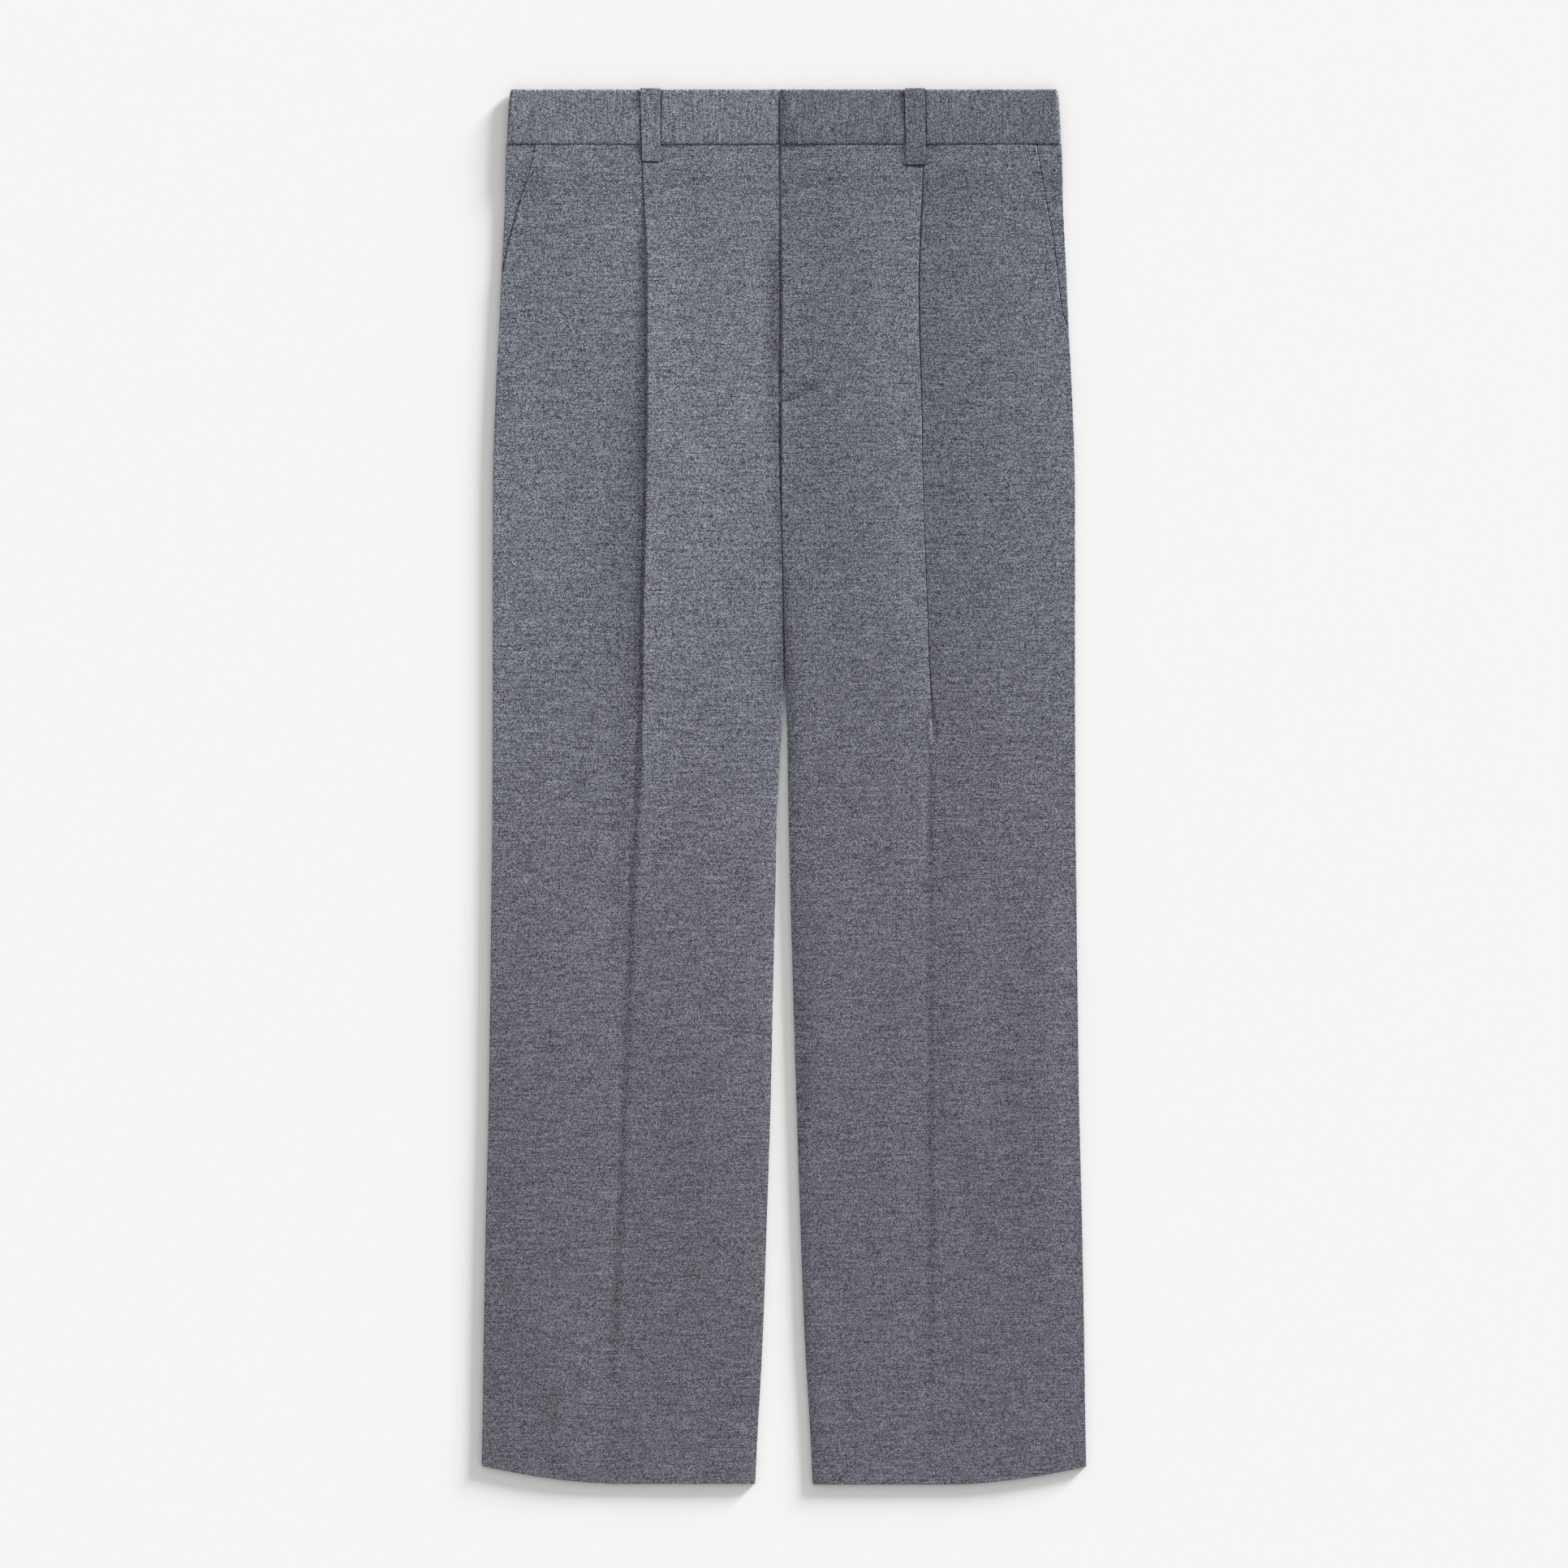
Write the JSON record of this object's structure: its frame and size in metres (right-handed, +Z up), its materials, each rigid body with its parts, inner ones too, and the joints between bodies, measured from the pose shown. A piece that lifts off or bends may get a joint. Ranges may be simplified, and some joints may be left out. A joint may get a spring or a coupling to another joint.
{
  "type": "pleated trousers",
  "caption": "Wide-leg pleated trousers laid flat, front up, with a waistband, belt loops, lapped fly, slanted pockets and pressed creases.",
  "frame": {"origin": "centre of the garment's outline on the surface it lies on", "axes": "+X to the wearer's left, +Y along the garment from the hems to the waist, +Z up from the surface through the front"},
  "size_m": [0.4548, 1.0512, 0.0096],
  "materials": {
    "suiting": "matt mid-grey melange suiting with fine horizontal streaks",
    "waistband_suiting": "the same cloth cut across, with fine vertical streaks"
  },
  "bodies": {
    "root": {"right_front": "suiting", "left_front": "suiting", "right_back": "suiting", "left_back": "suiting", "right_pocket_facing": "suiting", "left_pocket_facing": "suiting", "right_waistband": "waistband_suiting", "left_waistband": "waistband_suiting", "back_waistband": "waistband_suiting", "front_loop_right": "waistband_suiting", "front_loop_left": "waistband_suiting", "back_loop_centre": "waistband_suiting", "back_loop_right": "waistband_suiting", "back_loop_left": "waistband_suiting"}
  },
  "joints": []
}
